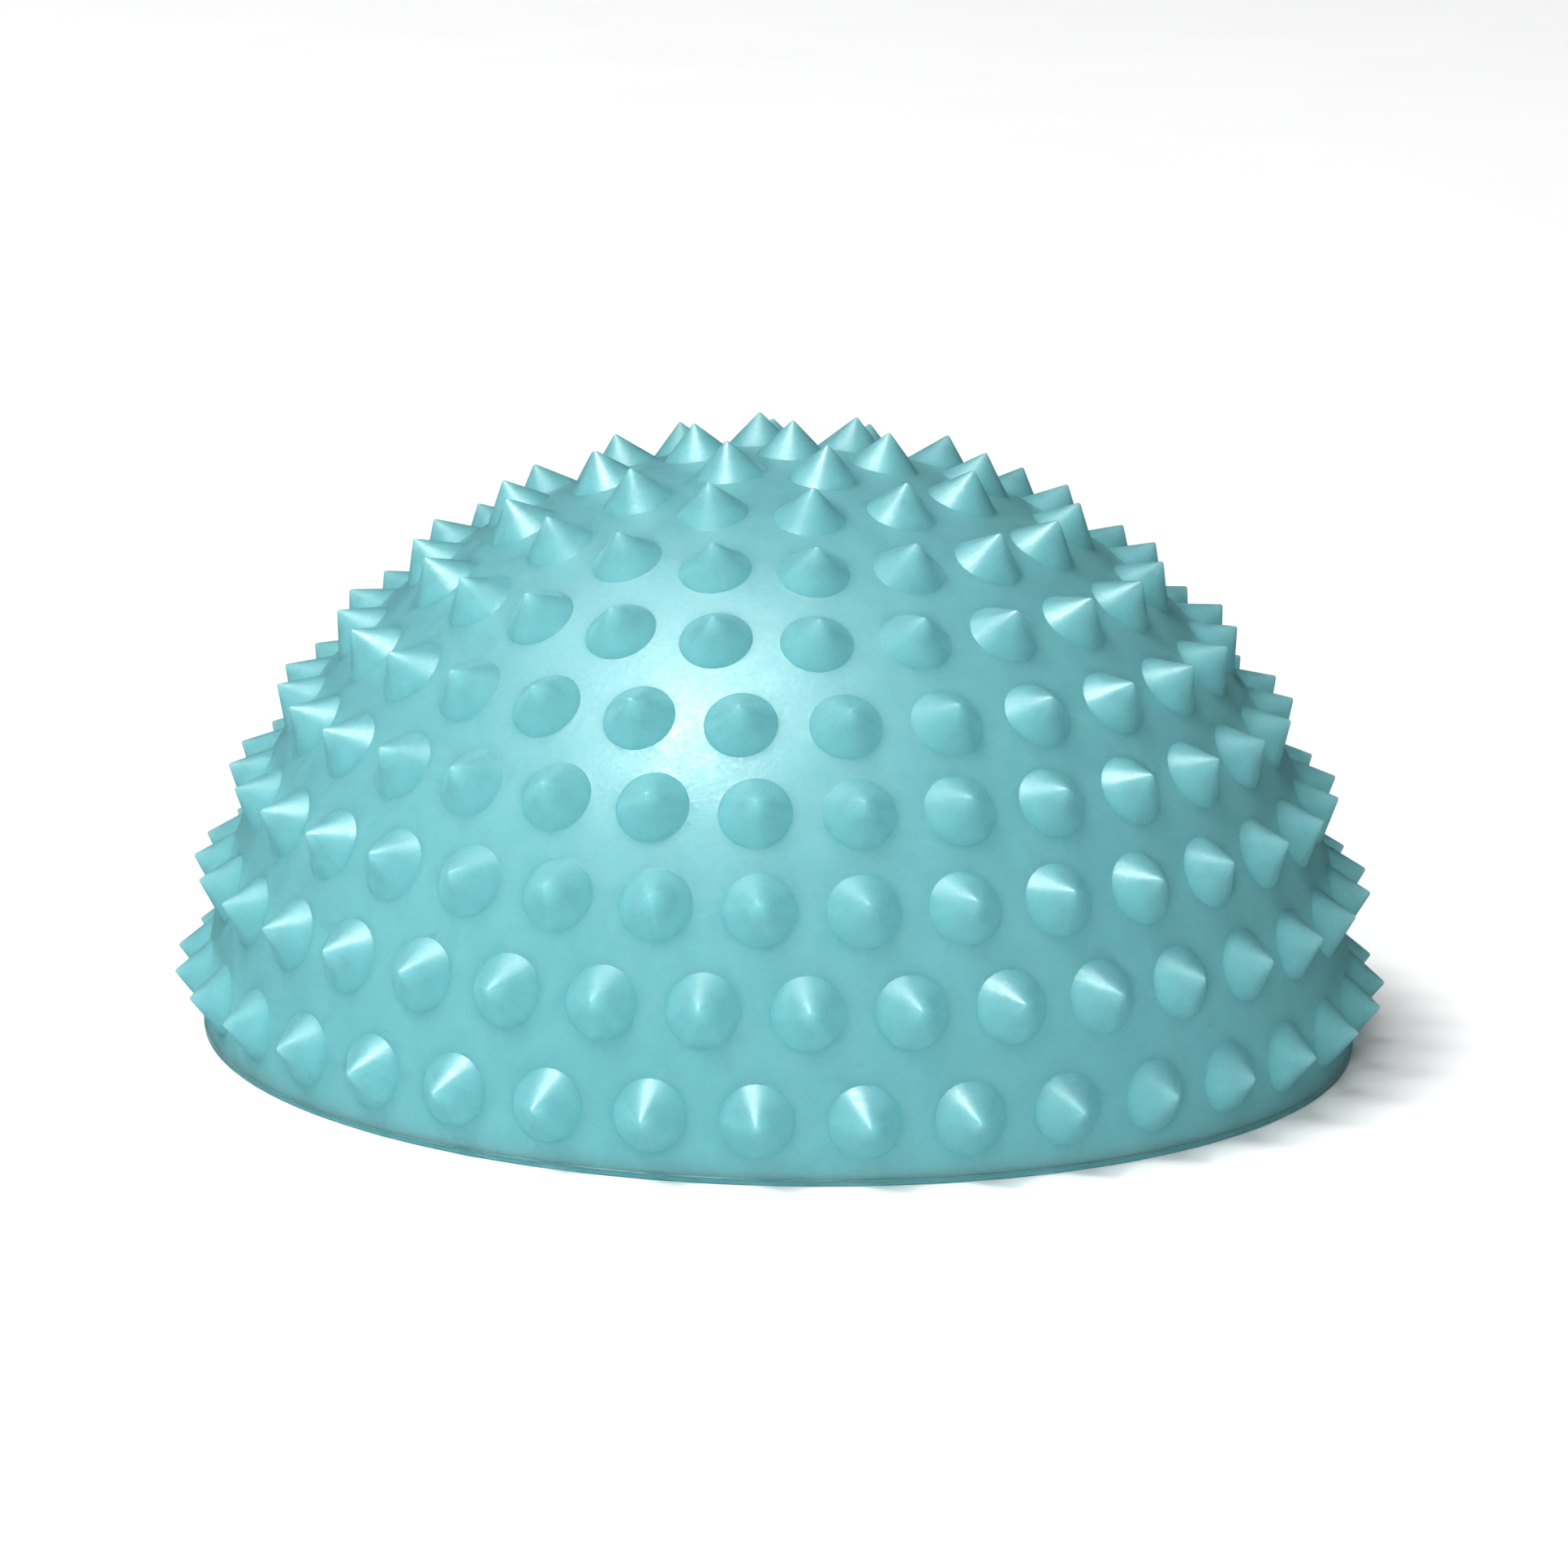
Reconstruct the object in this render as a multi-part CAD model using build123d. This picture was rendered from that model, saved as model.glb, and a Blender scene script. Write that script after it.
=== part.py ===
"""Air-filled spiked half-dome: a hollow moulded skin on a flat base disc, with a push-in air plug underneath.

Units are millimetres. The origin is the centre of the flat underside, +Z is up, and the front faces -Y.
"""
from build123d import *
import os
from math import cos, radians, sin, sqrt

# Skin: a hemisphere whose centre is a little above the floor.
DOME_RADIUS = 79.0
CENTRE_HEIGHT = 1.0
WALL = 3.0

# Spikes: right-angled cones that all point away from the hemisphere's centre.
SPIKE_REACH = 83.5
SPIKE_SLOPE = 45.0
TIP_ROUNDING = 0.35
ROOT_FILLET = 1.0
# Each ring is its number of spikes, its latitude, and how far its first spike is turned from the front.
SPIKE_RINGS = (
    (36, 5.3, 8.2),
    (36, 15.3, 2.8),
    (34, 24.7, 8.4),
    (31, 34.0, 8.5),
    (27, 43.0, 7.7),
    (23, 52.5, 4.6),
    (18, 61.9, 5.0),
    (12, 71.4, 6.0),
    (6, 80.7, 20.2),
    (1, 90.0, 0.0),
)

# Base disc: its thin rim closes the skin. Its underside is sunk between the foot ring and the valve seat.
RIM_THICKNESS = 0.7
SPIGOT_GAP = 0.1
DISC_TOP = 4.0
FIELD_HEIGHT = 1.2
FOOT_RING_WIDTH = 8.0
GRIP_RIB_RADII = (28.0, 41.0, 54.0)
GRIP_RIB_WIDTH = 2.4
GRIP_RIB_BOTTOM = 0.3
SOFT_EDGE = 0.4

# Valve seat: a bush bonded in the disc's middle hole, with a flange inside and a socket for the plug's head.
SEAT_RADIUS = 9.0
SEAT_FLANGE_RADIUS = 12.5
SEAT_FLANGE_TOP = 5.6
SEAT_NECK_RADIUS = 6.0
SEAT_TOP = 13.0
SOCKET_RADIUS = 7.2
SOCKET_TOP = 2.9

# Valve plug: a flat head in the socket and a stem that runs in the seat's bore.
RUNNING_GAP = 0.05
STEM_RADIUS = 3.0
STEM_TOP = 12.0
STEM_LEAD = 1.2
HEAD_RADIUS = 5.6
HEAD_BOTTOM = 1.65
HEAD_EDGE = 0.3
DIMPLE_RADIUS = 3.6
DIMPLE_DEPTH = 0.4

# How closely an edge's height or radius has to match the one looked for.
MATCH = 0.01


def turned(outline):
    """The solid made by turning a closed outline of (radius, height) edges about the Z axis."""
    return revolve(make_face([Plane.XZ * edge for edge in outline]), Axis.Z)


def spike_foot():
    """(radius, height) of the circle where a spike on the pole meets the skin, and its sharp apex height."""
    slope = radians(SPIKE_SLOPE)
    apex = SPIKE_REACH - TIP_ROUNDING + TIP_ROUNDING / sin(slope)
    # A point down the flank by t has radius t sin(slope) and height apex - t cos(slope).
    down = apex * cos(slope) - sqrt(DOME_RADIUS**2 - (apex * sin(slope)) ** 2)
    return down * sin(slope), apex - down * cos(slope)


def spike_on_pole():
    """One spike standing on the pole of the skin, about the hemisphere's centre, with its foot in the wall."""
    slope = radians(SPIKE_SLOPE)
    foot_radius, foot_height = spike_foot()
    sunk = DOME_RADIUS - WALL / 2
    tip_centre = SPIKE_REACH - TIP_ROUNDING
    tip_touch = (TIP_ROUNDING * cos(slope), tip_centre + TIP_ROUNDING * sin(slope))
    outline = [
        Polyline((0, SPIKE_REACH), (0, sunk), (foot_radius, sunk), (foot_radius, foot_height), tip_touch),
        RadiusArc(tip_touch, (0, SPIKE_REACH), -TIP_ROUNDING),
    ]
    return turned(outline)


def skin():
    """The bare hemisphere wall, about its own centre, with a short straight skirt down to the base disc."""
    inner = DOME_RADIUS - WALL
    skirt = RIM_THICKNESS - CENTRE_HEIGHT
    outline = [
        Polyline((inner, 0), (inner, skirt), (DOME_RADIUS, skirt), (DOME_RADIUS, 0)),
        RadiusArc((DOME_RADIUS, 0), (0, DOME_RADIUS), -DOME_RADIUS),
        Line((0, DOME_RADIUS), (0, inner)),
        RadiusArc((0, inner), (inner, 0), inner),
    ]
    return turned(outline)


def spiked_dome():
    """The one-piece moulded skin with all its spikes and a small fillet where each one grows out of it."""
    spike = spike_on_pole()
    spikes = []
    for count, latitude, first in SPIKE_RINGS:
        for i in range(count):
            turn = first + i * 360 / count
            spikes.append(Rot(0, 0, turn) * Rot(90 - latitude, 0, 0) * spike)
    dome = skin() + spikes
    foot_radius, _ = spike_foot()
    roots = [
        edge
        for edge in dome.edges().filter_by(GeomType.CIRCLE)
        if abs(edge.radius - foot_radius) < MATCH
    ]
    return Pos(0, 0, CENTRE_HEIGHT) * fillet(roots, ROOT_FILLET)


def ring(inner, outer, bottom, top):
    """A plain ring about the Z axis."""
    return turned([Polyline((inner, bottom), (outer, bottom), (outer, top), (inner, top), (inner, bottom))])


def level_edges(part, height):
    """The circular edges of a part that lie at one height."""
    return part.edges().filter_by(GeomType.CIRCLE).filter_by_position(Axis.Z, height - MATCH, height + MATCH)


def base_disc():
    """The underside panel: rounded rim, flat foot ring, sunk field with grip ribs and a hole for the seat."""
    foot_outer = DOME_RADIUS - RIM_THICKNESS
    foot_inner = foot_outer - FOOT_RING_WIDTH
    spigot = DOME_RADIUS - WALL - SPIGOT_GAP
    rim_edge = (DOME_RADIUS, RIM_THICKNESS)
    outline = [
        Polyline((SEAT_RADIUS, FIELD_HEIGHT), (foot_inner, FIELD_HEIGHT), (foot_inner, 0), (foot_outer, 0)),
        RadiusArc((foot_outer, 0), rim_edge, -RIM_THICKNESS),
        Polyline(
            rim_edge,
            (spigot, RIM_THICKNESS),
            (spigot, DISC_TOP),
            (SEAT_RADIUS, DISC_TOP),
            (SEAT_RADIUS, FIELD_HEIGHT),
        ),
    ]
    disc = turned(outline)
    for radius in GRIP_RIB_RADII:
        half = GRIP_RIB_WIDTH / 2
        disc += ring(radius - half, radius + half, GRIP_RIB_BOTTOM, FIELD_HEIGHT + SOFT_EDGE)
    disc = fillet(level_edges(disc, GRIP_RIB_BOTTOM), SOFT_EDGE)
    inner_foot_edge = [edge for edge in level_edges(disc, 0) if edge.radius < foot_inner + MATCH]
    return fillet(inner_foot_edge, SOFT_EDGE)


def valve_seat():
    """The soft bush in the disc's hole: flange, neck, plug bore, and a socket that hides the plug's head."""
    bore = STEM_RADIUS + RUNNING_GAP
    seat = turned([
        Polyline(
            (bore, SOCKET_TOP),
            (SOCKET_RADIUS, SOCKET_TOP),
            (SOCKET_RADIUS, FIELD_HEIGHT),
            (SEAT_RADIUS, FIELD_HEIGHT),
            (SEAT_RADIUS, DISC_TOP),
            (SEAT_FLANGE_RADIUS, DISC_TOP),
            (SEAT_FLANGE_RADIUS, SEAT_FLANGE_TOP),
            (SEAT_NECK_RADIUS, SEAT_FLANGE_TOP),
            (SEAT_NECK_RADIUS, SEAT_TOP),
            (bore, SEAT_TOP),
            (bore, SOCKET_TOP),
        )
    ])
    neck_top = [edge for edge in level_edges(seat, SEAT_TOP) if edge.radius > bore + MATCH]
    return fillet(neck_top, SOFT_EDGE)


def valve_plug():
    """The push-in plug: dished head, straight stem and a tapered lead at the stem's inner end."""
    head_top = SOCKET_TOP - RUNNING_GAP
    dimple_curve = (DIMPLE_RADIUS**2 + DIMPLE_DEPTH**2) / (2 * DIMPLE_DEPTH)
    outline = [
        RadiusArc((0, HEAD_BOTTOM + DIMPLE_DEPTH), (DIMPLE_RADIUS, HEAD_BOTTOM), dimple_curve),
        Polyline(
            (DIMPLE_RADIUS, HEAD_BOTTOM),
            (HEAD_RADIUS, HEAD_BOTTOM),
            (HEAD_RADIUS, head_top),
            (STEM_RADIUS, head_top),
            (STEM_RADIUS, STEM_TOP - STEM_LEAD),
            (STEM_RADIUS - STEM_LEAD / 2, STEM_TOP),
            (0, STEM_TOP),
            (0, HEAD_BOTTOM + DIMPLE_DEPTH),
        ),
    ]
    plug = turned(outline)
    circles = plug.edges().filter_by(GeomType.CIRCLE)
    head_edges = [edge for edge in circles if edge.radius > HEAD_RADIUS - MATCH]
    return fillet(head_edges, HEAD_EDGE)


PARTS = {
    "spiked_dome": spiked_dome,
    "base_disc": base_disc,
    "valve_seat": valve_seat,
    "valve_plug": valve_plug,
}

os.makedirs("parts", exist_ok=True)
for name, build in PARTS.items():
    export_step(build(), f"parts/{name}.step")
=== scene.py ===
"""The looks of the spiked half-dome: skin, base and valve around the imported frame, and a small studio."""
import math

import bmesh
import bpy
import numpy as np
from mathutils import Matrix, Vector, geometry


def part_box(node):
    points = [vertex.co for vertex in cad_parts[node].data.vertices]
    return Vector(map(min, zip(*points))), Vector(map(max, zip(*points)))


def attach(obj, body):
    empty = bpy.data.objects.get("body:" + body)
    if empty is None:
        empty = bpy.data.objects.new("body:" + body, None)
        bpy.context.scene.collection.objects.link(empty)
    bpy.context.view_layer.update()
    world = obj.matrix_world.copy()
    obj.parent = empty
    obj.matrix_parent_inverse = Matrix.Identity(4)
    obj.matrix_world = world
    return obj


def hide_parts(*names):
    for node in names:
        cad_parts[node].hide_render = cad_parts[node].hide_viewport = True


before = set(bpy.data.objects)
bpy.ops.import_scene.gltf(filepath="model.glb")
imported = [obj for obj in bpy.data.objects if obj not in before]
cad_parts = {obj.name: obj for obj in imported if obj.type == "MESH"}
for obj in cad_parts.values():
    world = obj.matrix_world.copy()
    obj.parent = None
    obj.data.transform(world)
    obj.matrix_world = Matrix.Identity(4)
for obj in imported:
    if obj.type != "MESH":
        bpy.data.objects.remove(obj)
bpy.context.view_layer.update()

MM = 0.001

# Lengths are in metres, as in the frame. Spikes have flanks at 45 degrees.
TIP_ROUNDING = 0.35 * MM
ROOT_FILLET = 0.12 * MM
SKIN_WALL = 3.0 * MM
# How far the tip of a moulded spike strays sideways, and how far its height strays as a share.
SPIKE_LEAN = 0.10 * MM
SPIKE_STRETCH = 0.012
SEED = 11

# The mesh: steps round a spike, the rim and the valve, the radius of skin that belongs to a spike, and the
# distance between the points on the rest of the skin.
SPIKE_SEGMENTS = 28
RIM_SEGMENTS = 288
BUSH_SEGMENTS = 96
SPIKE_PATCH = 6.0 * MM
SKIN_SPACING = 1.9 * MM

# Reading the frame: how closely heights and radii have to match, how far below the outermost tip the other
# tips lie at most, and how far apart two tips lie at least.
HEIGHT_MATCH = 0.005 * MM
RADIUS_MATCH = 0.02 * MM
TIP_BAND = 0.8 * MM
TIP_DISTANCE = 3 * MM
ON_AXIS = 1e-7

# The camera: how far back and how high it stands, the height it looks at, how many degrees its picture is
# turned, and its lens in millimetres.
CAMERA_BACK = 0.861
CAMERA_HEIGHT = 0.232
CAMERA_AIM_HEIGHT = 0.034
CAMERA_ROLL = 1.3
CAMERA_LENS = 148

# How far from the dome the lights stand, how far the floor reaches, and how bright the room is by itself.
LIGHT_DISTANCE = 6.0
FLOOR_REACH = 4.74
ROOM_LIGHT = 0.02

# The lights: name, azimuth and elevation in degrees, width in metres, power in watts.
# Glint lights are only mirrored by what they reach, and fill lights only brighten it.
GLINT_LIGHTS = (
    ("key_glint", -46, 66, 1.0, 68),
    ("softbox_glint", -46, 64, 3.8, 82),
    ("top_glint", -70, 82, 3.2, 70),
    ("back_glint", -120, 62, 3.2, 40),
)
FILL_LIGHTS = (
    ("key_fill", -74, 60, 1.4, 130),
    ("back_fill", -118, 60, 3.2, 90),
    ("top_fill", -60, 72, 3.2, 140),
    ("front_left_fill", -50, 35, 3.2, 56),
    ("front_fill", 0, 42, 3.2, 105),
    ("low_front_left_fill", -14, 6, 3.2, 310),
    ("low_front_right_fill", 25, 6, 3.2, 55),
)


# ---------------------------------------------------------------- what the frame says

def node_points(node):
    """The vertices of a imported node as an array."""
    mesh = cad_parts[node].data
    points = np.zeros(len(mesh.vertices) * 3, np.float32)
    mesh.vertices.foreach_get("co", points)
    return points.reshape(-1, 3).astype(float)


def edge_radii(node, height):
    """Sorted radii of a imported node's round edges at one height."""
    points = node_points(node)
    level = points[np.abs(points[:, 2] - height) < HEIGHT_MATCH]
    radii = np.sort(np.hypot(level[:, 0], level[:, 1]))
    return radii[np.append(True, np.diff(radii) > RADIUS_MATCH)]


def tip_points():
    """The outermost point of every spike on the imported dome, ring by ring."""
    points = node_points("spiked_dome")
    away = np.linalg.norm(points - [0, 0, SEAM_HEIGHT], axis=1)
    points = points[away > away.max() - TIP_BAND]
    away = np.linalg.norm(points - [0, 0, SEAM_HEIGHT], axis=1)
    tips = []
    while len(points):
        tip = points[away.argmax()]
        tips.append(tip)
        far = np.linalg.norm(points - tip, axis=1) > TIP_DISTANCE
        points, away = points[far], away[far]
    tips.sort(key=lambda tip: (round(tip[2] / MM), math.atan2(tip[0], -tip[1])))
    return np.array(tips)


def sphere_through(tips):
    """Height of the centre, and radius, of the sphere on the Z axis that passes through the tips."""
    columns = np.stack([2 * tips[:, 2], np.ones(len(tips))], axis=1)
    height, rest = np.linalg.lstsq(columns, (tips**2).sum(axis=1), rcond=None)[0]
    return height, math.sqrt(rest + height**2)


SEAM_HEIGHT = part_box("spiked_dome")[0].z
DOME_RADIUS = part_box("base_disc")[1].x
TIPS = tip_points()
CENTRE_HEIGHT, SPIKE_REACH = sphere_through(TIPS)
CENTRE = np.array([0.0, 0.0, CENTRE_HEIGHT])


# ---------------------------------------------------------------- mesh helpers

def mesh_object(name, points, faces):
    """A smooth-shaded object from points and faces, at the origin of the frame."""
    mesh = bpy.data.meshes.new(name)
    mesh.from_pydata([tuple(p) for p in points], [], faces)
    mesh.validate()
    work = bmesh.new()
    work.from_mesh(mesh)
    bmesh.ops.recalc_face_normals(work, faces=work.faces)
    work.to_mesh(mesh)
    work.free()
    mesh.shade_smooth()
    piece = bpy.data.objects.new(name, mesh)
    bpy.context.scene.collection.objects.link(piece)
    return piece


def arc(centre, radius, start, end, steps):
    """Points of an arc in the (radius, height) plane, from start to end degrees."""
    angles = np.radians(np.linspace(start, end, steps + 1))
    return [(centre[0] + radius * math.cos(a), centre[1] + radius * math.sin(a)) for a in angles]


def softened(corners, radii, steps=4):
    """An open outline with each inner corner rounded by the radius given for it."""
    outline = [corners[0]]
    for before, corner, after, radius in zip(corners, corners[1:], corners[2:], radii):
        if radius == 0:
            outline.append(corner)
            continue
        here = Vector(corner)
        back, on = Vector(before) - here, Vector(after) - here
        half = back.angle(on) / 2
        reach = min(radius / math.tan(half), 0.49 * back.length, 0.49 * on.length)
        start, end = here + back.normalized() * reach, here + on.normalized() * reach
        for i in range(steps + 1):
            t = i / steps
            point = start * (1 - t) ** 2 + here * 2 * t * (1 - t) + end * t**2
            outline.append(tuple(point))
    outline.append(corners[-1])
    return outline


def ring_points(radius, height, segments):
    """A level circle of points about the Z axis."""
    angles = 2 * math.pi * np.arange(segments) / segments
    heights = np.full(segments, height)
    return np.stack([radius * np.cos(angles), radius * np.sin(angles), heights], axis=1)


def bridge(first, second):
    """Quads between two closed loops of point numbers."""
    after_first, after_second = np.roll(first, -1), np.roll(second, -1)
    return [tuple(map(int, quad)) for quad in zip(first, after_first, after_second, second)]


def lathe(name, outline, segments):
    """A closed solid turned about the Z axis from an outline; ends on the axis are closed with a fan."""
    points, loops = [], []
    for radius, height in outline:
        if radius < ON_AXIS:
            loops.append([len(points)])
            points.append((0, 0, height))
            continue
        loops.append(list(range(len(points), len(points) + segments)))
        points.extend(ring_points(radius, height, segments))
    faces = []
    pairs = list(zip(loops, loops[1:]))
    if len(loops[0]) > 1:
        pairs.append((loops[-1], loops[0]))
    for first, second in pairs:
        if len(first) == 1:
            faces += [(first[0], second[i], second[i - 1]) for i in range(segments)]
        elif len(second) == 1:
            faces += [(first[i - 1], first[i], second[0]) for i in range(segments)]
        else:
            faces += bridge(first, second)
    return mesh_object(name, points, faces)


# ---------------------------------------------------------------- the skin

def spike_outline():
    """(distance from the axis, height from the centre) down one spike, from its tip to its patch's edge."""
    tip_centre = SPIKE_REACH - TIP_ROUNDING
    outline = arc((0, tip_centre), TIP_ROUNDING, 67.5, 45, 1)
    flank = (tip_centre + TIP_ROUNDING * math.sqrt(2)) / math.sqrt(2)
    # The fillet's centre stands off the flank and off the skin by its radius.
    off = flank + ROOT_FILLET
    along = math.sqrt((DOME_RADIUS + ROOT_FILLET) ** 2 - off**2)
    fillet = ((off - along) / math.sqrt(2), (off + along) / math.sqrt(2))
    lean = math.degrees(math.atan2(fillet[0], fillet[1]))
    bottom = arc(fillet, ROOT_FILLET, 225, 270 - lean, 4)
    top = outline[-1]
    foot = bottom[0]
    for t in (0.25, 0.5, 0.75):
        outline.append((top[0] + (foot[0] - top[0]) * t, top[1] + (foot[1] - top[1]) * t))
    outline += bottom
    outline.append((SPIKE_PATCH, math.sqrt(DOME_RADIUS**2 - SPIKE_PATCH**2)))
    return outline


def spike_points(tip, draw):
    """One spike and the skin round its foot: its tip point, then its rings from the top down."""
    axis = (tip - CENTRE) / np.linalg.norm(tip - CENTRE)
    side = np.cross([0, 0, 1.0], axis)
    side = np.array([1.0, 0, 0]) if np.linalg.norm(side) < 1e-6 else side / np.linalg.norm(side)
    up = np.cross(axis, side)
    bend = draw.normal(0, SPIKE_LEAN, 2)
    stretch = draw.normal(0, SPIKE_STRETCH)
    rings = [np.array([[0.0, 0.0, SPIKE_REACH]])]
    for radius, height in spike_outline():
        rings.append(ring_points(radius, height, SPIKE_SEGMENTS))
    points = np.concatenate(rings)
    # A moulded spike leans and stretches a hair, and its foot stays where the skin is.
    lift = np.clip((np.linalg.norm(points, axis=1) - DOME_RADIUS) / (SPIKE_REACH - DOME_RADIUS), 0, 1)
    points[:, 0] += bend[0] * lift
    points[:, 1] += bend[1] * lift
    points[:, 2] += stretch * (SPIKE_REACH - DOME_RADIUS) * lift
    return CENTRE + points @ np.stack([side, up, axis])


def flat(points):
    """Stereographic map of skin points onto a plane, which keeps circles round."""
    away = (points - CENTRE) / np.linalg.norm(points - CENTRE, axis=1)[:, None]
    return away[:, :2] / (1 + away[:, 2:])


def skin_filler(axes):
    """Evenly spread points on the bare skin between the spikes' patches."""
    count = int(2 * math.pi * DOME_RADIUS**2 / SKIN_SPACING**2)
    i = np.arange(count) + 0.5
    z = 1 - i / count
    turn = i * math.pi * (3 - math.sqrt(5))
    level = np.sqrt(1 - z**2)
    away = np.stack([level * np.cos(turn), level * np.sin(turn), z], axis=1)
    nearest = np.arccos(np.clip(away @ axes.T, -1, 1)).min(axis=1) * DOME_RADIUS
    clear = (nearest > SPIKE_PATCH + 0.55 * SKIN_SPACING) & (z * DOME_RADIUS > 0.6 * SKIN_SPACING)
    return CENTRE + away[clear] * DOME_RADIUS


def skin_rim():
    """(radius, height) outline from the skin's widest circle, round its moulding line, to inside the pole."""
    # The moulding line stands out by a little more than a tenth of a millimetre, just above the seam.
    line = SEAM_HEIGHT + 0.16 * MM
    inner = DOME_RADIUS - SKIN_WALL
    outline = [
        (DOME_RADIUS, line + 0.09 * MM),
        (DOME_RADIUS + 0.05 * MM, line + 0.06 * MM),
        (DOME_RADIUS + 0.13 * MM, line + 0.03 * MM),
        (DOME_RADIUS + 0.13 * MM, line - 0.03 * MM),
        (DOME_RADIUS + 0.05 * MM, line - 0.07 * MM),
        (DOME_RADIUS - 0.01 * MM, line - 0.12 * MM),
        (DOME_RADIUS - 0.05 * MM, SEAM_HEIGHT),
        (inner, SEAM_HEIGHT),
    ]
    outline += arc((0, CENTRE_HEIGHT), inner, 0, 84, 14)
    outline.append((0, CENTRE_HEIGHT + inner))
    return outline


def build_skin():
    """The moulded skin: a patch for each spike, an even mesh between them, the rim and the inside wall."""
    draw = np.random.RandomState(SEED)
    axes = (TIPS - CENTRE) / np.linalg.norm(TIPS - CENTRE, axis=1)[:, None]
    rows = len(spike_outline())
    points, faces, edge_loops = [], [], []
    for tip in TIPS:
        first = len(points)
        points.extend(spike_points(tip, draw))
        starts = [first + 1 + row * SPIKE_SEGMENTS for row in range(rows)]
        rings = [list(range(start, start + SPIKE_SEGMENTS)) for start in starts]
        faces += [(first, rings[0][k - 1], rings[0][k]) for k in range(SPIKE_SEGMENTS)]
        for upper, lower in zip(rings, rings[1:]):
            faces += bridge(lower, upper)
        edge_loops.append(rings[-1])

    widest = list(range(len(points), len(points) + RIM_SEGMENTS))
    points.extend(ring_points(DOME_RADIUS, CENTRE_HEIGHT, RIM_SEGMENTS))
    filler = skin_filler(axes)
    filler_numbers = list(range(len(points), len(points) + len(filler)))
    points.extend(filler)

    numbers = [n for loop in edge_loops for n in loop] + widest + filler_numbers
    place = {n: i for i, n in enumerate(numbers)}
    owner = {n: k for k, loop in enumerate(edge_loops) for n in loop}
    flat_points = [Vector(p) for p in flat(np.array([points[n] for n in numbers]))]
    fixed = []
    for loop in edge_loops + [widest]:
        fixed += [(place[a], place[b]) for a, b in zip(loop, loop[1:] + loop[:1])]
    _, _, triangles, origins, *_ = geometry.delaunay_2d_cdt(flat_points, fixed, [], 0, 1e-9)
    # A triangle inside one spike's patch, or between points of the rim, is not bare skin.
    for triangle in triangles:
        corners = [numbers[origins[i][0]] for i in triangle]
        owners = {owner.get(n) for n in corners}
        if len(owners) == 1 and None not in owners:
            continue
        if all(n in place and widest[0] <= n <= widest[-1] for n in corners):
            continue
        faces.append(tuple(corners))

    above = widest
    for radius, height in skin_rim():
        if radius < ON_AXIS:
            top = len(points)
            points.append((0, 0, height))
            faces += [(above[k - 1], top, above[k]) for k in range(RIM_SEGMENTS)]
            continue
        loop = list(range(len(points), len(points) + RIM_SEGMENTS))
        points.extend(ring_points(radius, height, RIM_SEGMENTS))
        faces += bridge(loop, above)
        above = loop
    return mesh_object("dome_skin", points, faces)


# ---------------------------------------------------------------- the base and the valve

def build_base():
    """The underside panel: rounded rim, foot ring, sunk field with grip ribs, and the hole for the bush."""
    low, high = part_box("base_disc")
    seat_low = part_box("valve_seat")[0].z
    hole, spigot = edge_radii("base_disc", high.z)[[0, -1]]
    foot_inner, foot_outer = edge_radii("base_disc", low.z)[[0, -1]]
    field = edge_radii("base_disc", seat_low)
    rib_sides = field[1:-1].reshape(-1, 2)
    points = node_points("base_disc")
    around = np.hypot(points[:, 0], points[:, 1])
    rib_bottom = points[around < rib_sides[-1][1], 2].min()
    corners, radii = [(hole, high.z), (hole, seat_low)], [0.3 * MM]
    for inside, outside in rib_sides:
        corners += [(inside, seat_low), (inside, rib_bottom), (outside, rib_bottom), (outside, seat_low)]
        radii += [0.3 * MM, 0.4 * MM, 0.4 * MM, 0.3 * MM]
    corners += [(field[-1], seat_low), (field[-1], low.z), (high.x, low.z), (high.x, SEAM_HEIGHT)]
    radii += [0.4 * MM, 0.5 * MM, 0.65 * MM, 0.12 * MM]
    corners += [(spigot, SEAM_HEIGHT), (spigot, high.z), (hole, high.z)]
    radii += [0.05 * MM, 0.5 * MM]
    return lathe("base_panel", softened(corners, radii)[:-1], RIM_SEGMENTS)


def build_bush():
    """The bonded valve bush: socket, bore, flange and neck, all with soft moulded edges."""
    low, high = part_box("valve_seat")
    disc_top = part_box("base_disc")[1].z
    socket, body = edge_radii("valve_seat", low.z)[[0, -1]]
    bore = edge_radii("valve_seat", high.z)[0]
    points = node_points("valve_seat")
    around = np.hypot(points[:, 0], points[:, 1])
    socket_top = points[(around < socket - MM) & (around < bore + 0.1 * MM), 2].min()
    flange_top = points[around > high.x - 0.01 * MM, 2].max()
    neck = around[points[:, 2] > flange_top + MM].max()
    corners = [
        (bore, high.z), (bore, socket_top), (socket, socket_top), (socket, low.z), (body, low.z),
        (body, disc_top), (high.x, disc_top), (high.x, flange_top), (neck, flange_top), (neck, high.z),
        (bore, high.z),
    ]
    soft = [0.3, 0.4, 0.35, 0.2, 0, 0.1, 0.4, 0.8, 0.5]
    return lathe("valve_bush", softened(corners, [r * MM for r in soft])[:-1], BUSH_SEGMENTS)


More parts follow.
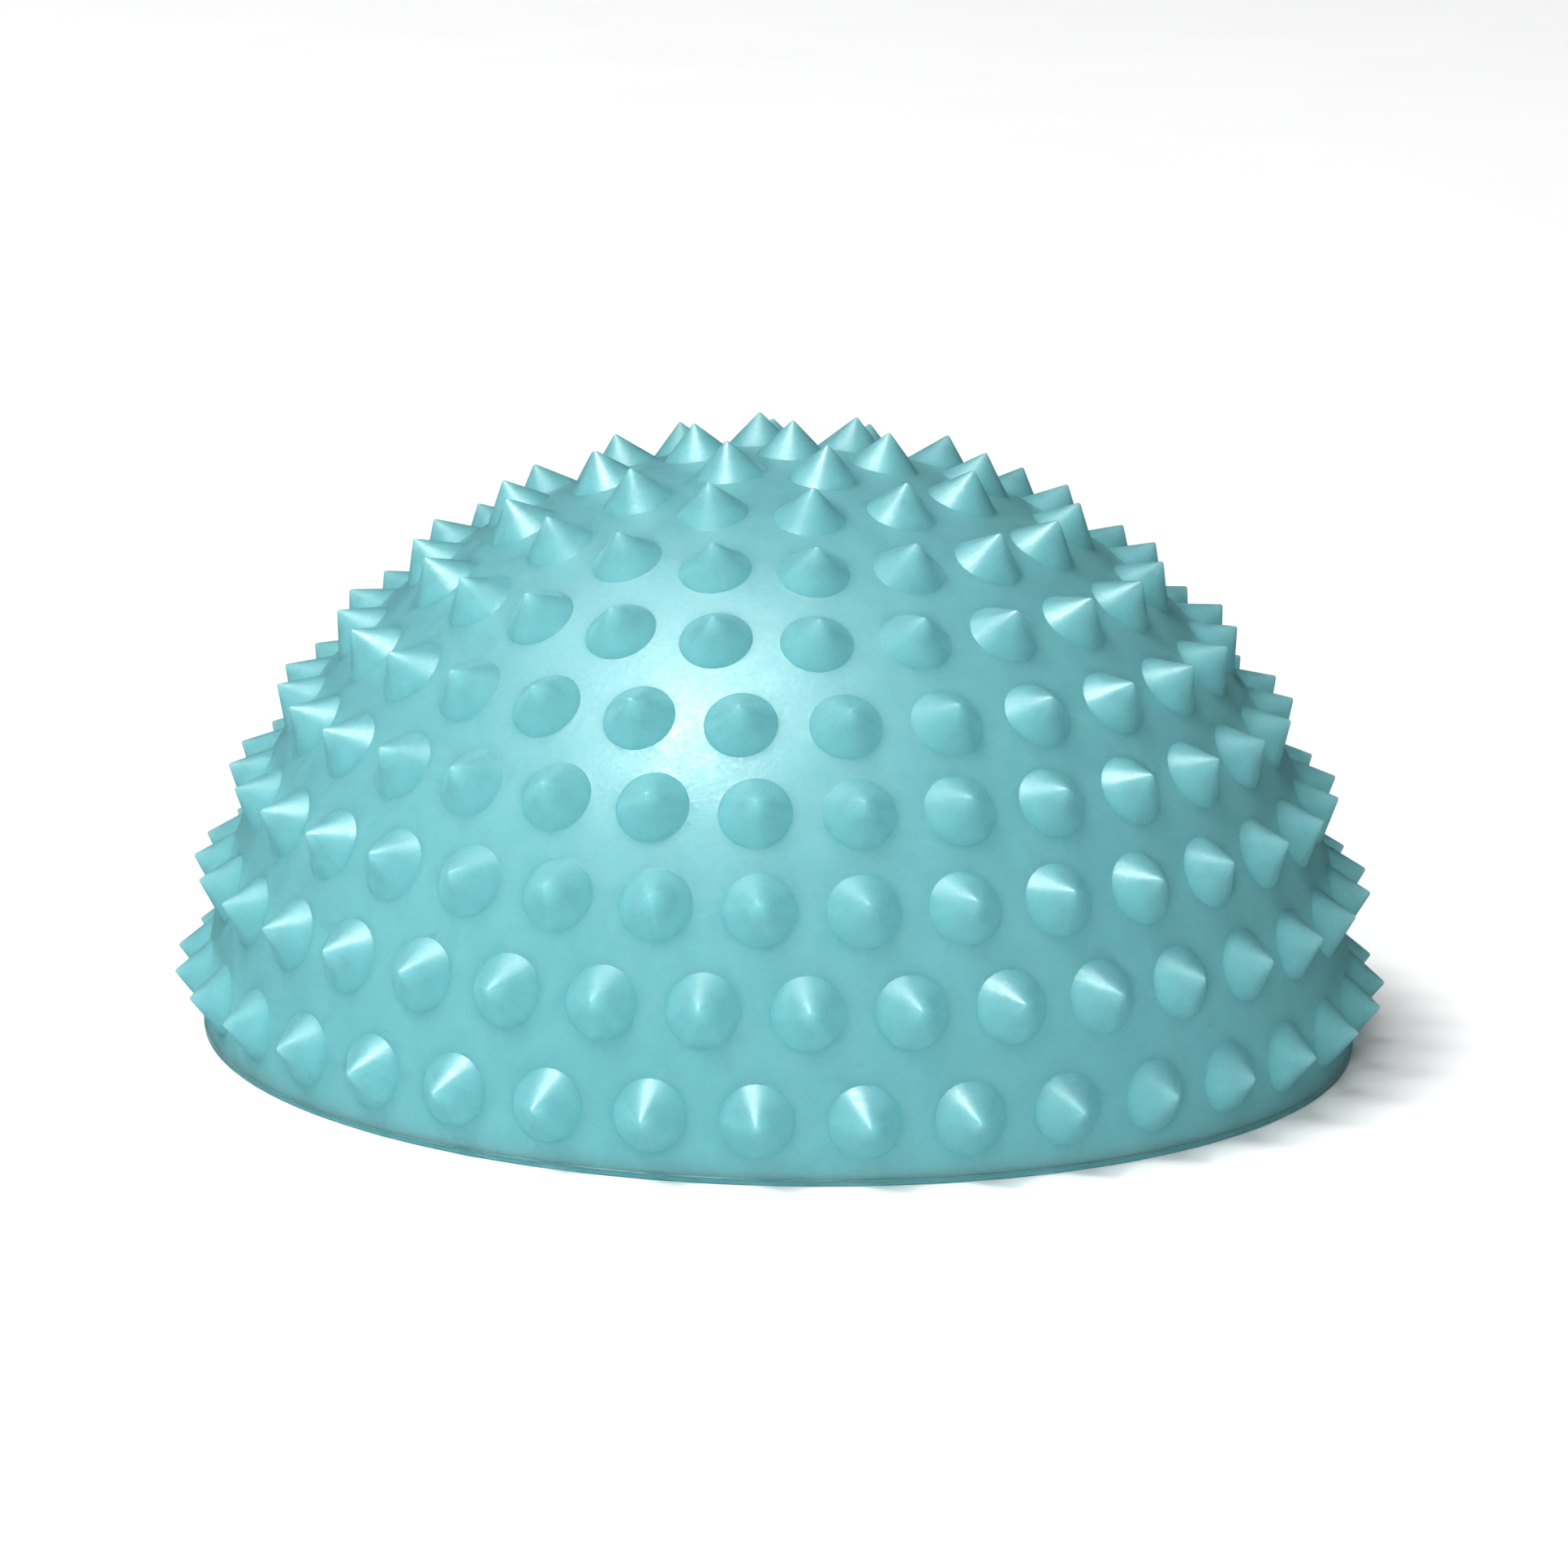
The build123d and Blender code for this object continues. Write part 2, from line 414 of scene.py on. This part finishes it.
def build_plug():
    """The push-in air plug: dished head with a rolled edge, stem, and tapered lead."""
    low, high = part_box("valve_plug")
    points = node_points("valve_plug")
    around = np.hypot(points[:, 0], points[:, 1])
    stem = around[points[:, 2] > low.z + 3 * MM].max()
    head_top = points[around > stem + 0.5 * MM, 2].max()
    dish = 0.4 * MM
    taper = 1.2 * MM
    corners = [
        (0, low.z + dish), (0.36 * high.x, low.z + 0.75 * dish), (0.66 * high.x, low.z), (high.x, low.z),
        (high.x, head_top), (stem, head_top), (stem, high.z - taper), (stem - taper / 2, high.z), (0, high.z),
    ]
    soft = [0.8, 0.3, 0.4, 0.3, 0.15, 0.5, 0.3]
    return lathe("air_plug", softened(corners, [r * MM for r in soft]), BUSH_SEGMENTS)


# ---------------------------------------------------------------- materials

class Nodes:
    """Short ways to add nodes to one material."""

    def __init__(self, name):
        self.material = bpy.data.materials.new(name)
        self.material.use_nodes = True
        self.tree = self.material.node_tree
        self.tree.nodes.clear()
        self.place = self.add("ShaderNodeTexCoord").outputs["Object"]

    def plug(self, socket, value):
        """Gives an input socket a plain value, or joins it to another node's output."""
        if isinstance(value, bpy.types.NodeSocket):
            self.tree.links.new(value, socket)
        else:
            socket.default_value = value

    def add(self, kind, **inputs):
        """A node of this kind. An input is named with _ for each space, or is i and its number."""
        node = self.tree.nodes.new(kind)
        for key, value in inputs.items():
            name = int(key[1:]) if key[1:].isdigit() else key.replace("_", " ")
            self.plug(node.inputs[name], value)
        return node

    def noise(self, size, detail=2.0, roughness=0.5):
        """Noise with lumps about size metres across, stretched so that it fills 0 to 1."""
        node = self.add("ShaderNodeTexNoise", Vector=self.place, Scale=1 / size)
        self.plug(node.inputs["Detail"], detail)
        self.plug(node.inputs["Roughness"], roughness)
        return self.spread(node.outputs["Fac"], 0.3, 0.7)

    def math(self, operation, first, second):
        """One sum, product or other operation on two values."""
        node = self.add("ShaderNodeMath", i0=first, i1=second)
        node.operation = operation
        return node.outputs[0]

    def spread(self, value, low, high, new_low=0.0, new_high=1.0):
        """Value stretched from low..high to new_low..new_high, and held inside them."""
        node = self.add(
            "ShaderNodeMapRange", Value=value, From_Min=low, From_Max=high, To_Min=new_low, To_Max=new_high
        )
        return node.outputs["Result"]

    def mix(self, share, first, second):
        """A colour between first, at share 0, and second, at share 1."""
        node = self.add("ShaderNodeMix")
        node.data_type = "RGBA"
        self.plug(node.inputs["Factor"], share)
        self.plug(node.inputs[6], first)
        self.plug(node.inputs[7], second)
        return node.outputs[2]

    def bump(self, height, depth, under=None):
        """A bump of depth metres from a height that runs from 0 to 1, on top of the bump under it."""
        node = self.add("ShaderNodeBump", Height=height, Distance=depth, Strength=1.0)
        if under is not None:
            self.plug(node.inputs["Normal"], under)
        return node.outputs["Normal"]

    def finish(self, **inputs):
        """Ends the material in one principled surface with these inputs."""
        surface = self.add("ShaderNodeBsdfPrincipled", **inputs)
        self.add("ShaderNodeOutputMaterial", Surface=surface.outputs[0])
        return self.material


def rgb(red, green, blue):
    """A colour given in display values from 0 to 255, as the linear colour that shaders use."""
    return (*[((c / 255 + 0.055) / 1.055) ** 2.4 for c in (red, green, blue)], 1.0)


def skin_material():
    """Satin soft PVC: cloudy teal with fine grain and mottle, painted shade on the spikes, light under its
    surface, and a broad glint.
    """
    n = Nodes("teal_soft_pvc")
    cloud = n.noise(34 * MM, 3)
    mottle = n.noise(3.0 * MM, 3, 0.6)
    grain = n.noise(0.6 * MM, 2, 0.5)
    away = n.add("ShaderNodeVectorMath", i0=n.place, i1=tuple(CENTRE))
    away.operation = "DISTANCE"
    # Painted shade: the spikes above their feet are coloured darker than the same PVC on the skin round them.
    spike_shade_mask = n.spread(away.outputs["Value"], DOME_RADIUS + 0.3 * MM, DOME_RADIUS + 2.5 * MM)
    tone = n.mix(cloud, rgb(101, 171, 177), rgb(107, 176, 182))
    tone = n.mix(n.math("MULTIPLY", spike_shade_mask, 0.75), tone, rgb(102, 148, 153))
    tone = n.mix(n.math("MULTIPLY", mottle, 0.25), tone, rgb(119, 190, 195))
    tone = n.mix(n.math("MULTIPLY", grain, 0.15), tone, rgb(92, 160, 167))
    normal = n.bump(mottle, 0.015 * MM)
    grained = n.bump(grain, 0.018 * MM, normal)
    return n.finish(
        Base_Color=tone, Roughness=n.spread(mottle, 0.3, 0.7, 0.43, 0.49), IOR=2.0,
        Specular_Tint=(0.62, 1, 1, 1),
        Coat_Weight=n.spread(grain, 0, 1, 0.25, 0.95), Coat_Roughness=n.spread(mottle, 0.3, 0.7, 0.29, 0.34),
        Coat_IOR=1.9,
        Subsurface_Weight=1.0, Subsurface_Radius=(0.66, 1.0, 1.0), Subsurface_Scale=14 * MM,
        Normal=normal, Coat_Normal=grained,
    )


def base_material():
    """The skin's PVC in a harder, matter grade, scuffed paler where the foot ring and ribs meet the floor."""
    n = Nodes("teal_base_pvc")
    cloud = n.noise(28 * MM, 3)
    grain = n.noise(0.9 * MM, 3, 0.6)
    scratches = n.noise(5 * MM, 6, 0.75)
    height = n.add("ShaderNodeSeparateXYZ", Vector=n.place).outputs["Z"]
    low = n.spread(height, 0.5 * MM, 0.0)
    scuff = n.math("MULTIPLY", low, n.spread(scratches, 0.45, 0.8, 0.0, 0.5))
    tone = n.mix(cloud, rgb(76, 148, 156), rgb(84, 154, 161))
    tone = n.mix(n.math("MULTIPLY", grain, 0.3), tone, rgb(68, 138, 147))
    tone = n.mix(scuff, tone, rgb(158, 200, 203))
    normal = n.bump(grain, 0.03 * MM)
    normal = n.bump(n.math("MULTIPLY", scratches, low), 0.02 * MM, normal)
    return n.finish(
        Base_Color=tone, Roughness=n.spread(scuff, 0, 0.5, 0.50, 0.72), IOR=1.7,
        Specular_Tint=(0.75, 1, 1, 1),
        Coat_Weight=0.3, Coat_Roughness=0.42, Coat_IOR=1.6,
        Subsurface_Weight=1.0, Subsurface_Radius=(0.7, 1.0, 1.0), Subsurface_Scale=4 * MM,
        Normal=normal, Coat_Normal=normal,
    )


def bush_material():
    """Clear flexible PVC gone faintly milky: pale, smooth, and a little greener where it is thick."""
    n = Nodes("milky_clear_pvc")
    haze = n.noise(4 * MM, 3, 0.6)
    flow = n.noise(1.5 * MM, 2, 0.5)
    tone = n.mix(haze, rgb(188, 215, 214), rgb(212, 228, 226))
    tone = n.mix(n.math("MULTIPLY", flow, 0.25), tone, rgb(168, 203, 204))
    normal = n.bump(flow, 0.02 * MM)
    return n.finish(
        Base_Color=tone, Roughness=n.spread(haze, 0, 1, 0.24, 0.36), IOR=1.54, Transmission_Weight=0.25,
        Subsurface_Weight=1.0, Subsurface_Radius=(0.9, 1.0, 1.0), Subsurface_Scale=6 * MM,
        Normal=normal,
    )


def plug_material():
    """White moulded polyethylene: waxy, with faint flow marks and a darker, thumb-worn face."""
    n = Nodes("white_polyethylene")
    flow = n.noise(2.2 * MM, 4, 0.65)
    grain = n.noise(0.5 * MM, 2, 0.5)
    height = n.add("ShaderNodeSeparateXYZ", Vector=n.place).outputs["Z"]
    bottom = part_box("valve_plug")[0].z
    face = n.spread(height, bottom + 0.5 * MM, bottom)
    tone = n.mix(flow, rgb(224, 224, 219), rgb(238, 238, 234))
    tone = n.mix(n.math("MULTIPLY", grain, 0.2), tone, rgb(206, 206, 200))
    tone = n.mix(n.math("MULTIPLY", face, n.spread(flow, 0.3, 1, 0, 0.3)), tone, rgb(196, 194, 186))
    normal = n.bump(flow, 0.02 * MM)
    normal = n.bump(grain, 0.01 * MM, normal)
    return n.finish(
        Base_Color=tone, Roughness=n.spread(flow, 0, 1, 0.34, 0.46), IOR=1.5,
        Subsurface_Weight=1.0, Subsurface_Radius=(1.0, 0.95, 0.85), Subsurface_Scale=2 * MM,
        Normal=normal,
    )


# ---------------------------------------------------------------- the studio

def floor():
    """A wide pale floor under the object."""
    half = FLOOR_REACH
    corners = [(-half, -half, 0), (half, -half, 0), (half, half, 0), (-half, half, 0)]
    piece = mesh_object("floor", corners, [(0, 1, 2, 3)])
    n = Nodes("pale_floor")
    tone = n.mix(n.noise(60 * MM, 2), (0.93, 0.93, 0.93, 1), (0.95, 0.95, 0.95, 1))
    piece.data.materials.append(n.finish(Base_Color=tone, Roughness=0.9, Specular_IOR_Level=0.1))
    piece.visible_glossy = False


def area_light(name, azimuth, elevation, size, power, glint):
    """A round soft light that faces the dome; azimuth 0 is on the camera's side and grows to the right."""
    data = bpy.data.lights.new(name, "AREA")
    data.shape = "DISK"
    data.size = size
    data.energy = power
    lamp = bpy.data.objects.new(name, data)
    a, e = math.radians(azimuth), math.radians(elevation)
    away = Vector((math.sin(a) * math.cos(e), -math.cos(a) * math.cos(e), math.sin(e)))
    lamp.location = Vector((0, 0, SPIKE_REACH / 2)) + away * LIGHT_DISTANCE
    lamp.rotation_mode = "QUATERNION"
    lamp.rotation_quaternion = away.to_track_quat("Z", "Y")
    lamp.visible_glossy = glint
    lamp.visible_diffuse = not glint
    bpy.context.scene.collection.objects.link(lamp)


def surroundings():
    """A white room: the camera sees it white, and it lights the object evenly."""
    world = bpy.data.worlds.new("white_room")
    world.use_nodes = True
    tree = world.node_tree
    tree.nodes.clear()
    light = tree.nodes.new("ShaderNodeBackground")
    light.inputs["Strength"].default_value = ROOM_LIGHT
    seen = tree.nodes.new("ShaderNodeBackground")
    mix = tree.nodes.new("ShaderNodeMixShader")
    path = tree.nodes.new("ShaderNodeLightPath")
    output = tree.nodes.new("ShaderNodeOutputWorld")
    for background in (light, seen):
        background.inputs["Color"].default_value = (1, 1, 1, 1)
    tree.links.new(path.outputs["Is Camera Ray"], mix.inputs[0])
    tree.links.new(light.outputs[0], mix.inputs[1])
    tree.links.new(seen.outputs[0], mix.inputs[2])
    tree.links.new(mix.outputs[0], output.inputs[0])
    bpy.context.scene.world = world


def camera():
    """The camera in front of the dome and a little above it, with a long lens."""
    data = bpy.data.cameras.new("camera")
    data.sensor_width = 36
    data.lens = CAMERA_LENS
    data.clip_start, data.clip_end = 0.01, 20
    piece = bpy.data.objects.new("camera", data)
    piece.location = (0, -CAMERA_BACK, CAMERA_HEIGHT)
    back = (piece.location - Vector((0, 0, CAMERA_AIM_HEIGHT))).normalized()
    piece.rotation_mode = "QUATERNION"
    roll = Matrix.Rotation(math.radians(CAMERA_ROLL), 3, back)
    piece.rotation_quaternion = (roll @ back.to_track_quat("Z", "Y").to_matrix()).to_quaternion()
    bpy.context.scene.collection.objects.link(piece)
    bpy.context.scene.camera = piece


def studio():
    """Floor, soft lights, white room and camera."""
    floor()
    for light in GLINT_LIGHTS:
        area_light(*light, glint=True)
    for light in FILL_LIGHTS:
        area_light(*light, glint=False)
    surroundings()
    camera()
    bpy.context.scene.view_settings.view_transform = "Standard"


PIECES = (
    (build_skin, skin_material, "dome", "spiked_dome", "teal_skin"),
    (build_base, base_material, "dome", "base_disc", "teal_base"),
    (build_bush, bush_material, "dome", "valve_seat", "clear_soft_seat"),
    (build_plug, plug_material, "plug", "valve_plug", "white_plug"),
)

for build, material, body, node, slot in PIECES:
    piece = build()
    piece.data.materials.append(material())
    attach(piece, body)
    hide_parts(node)

studio()
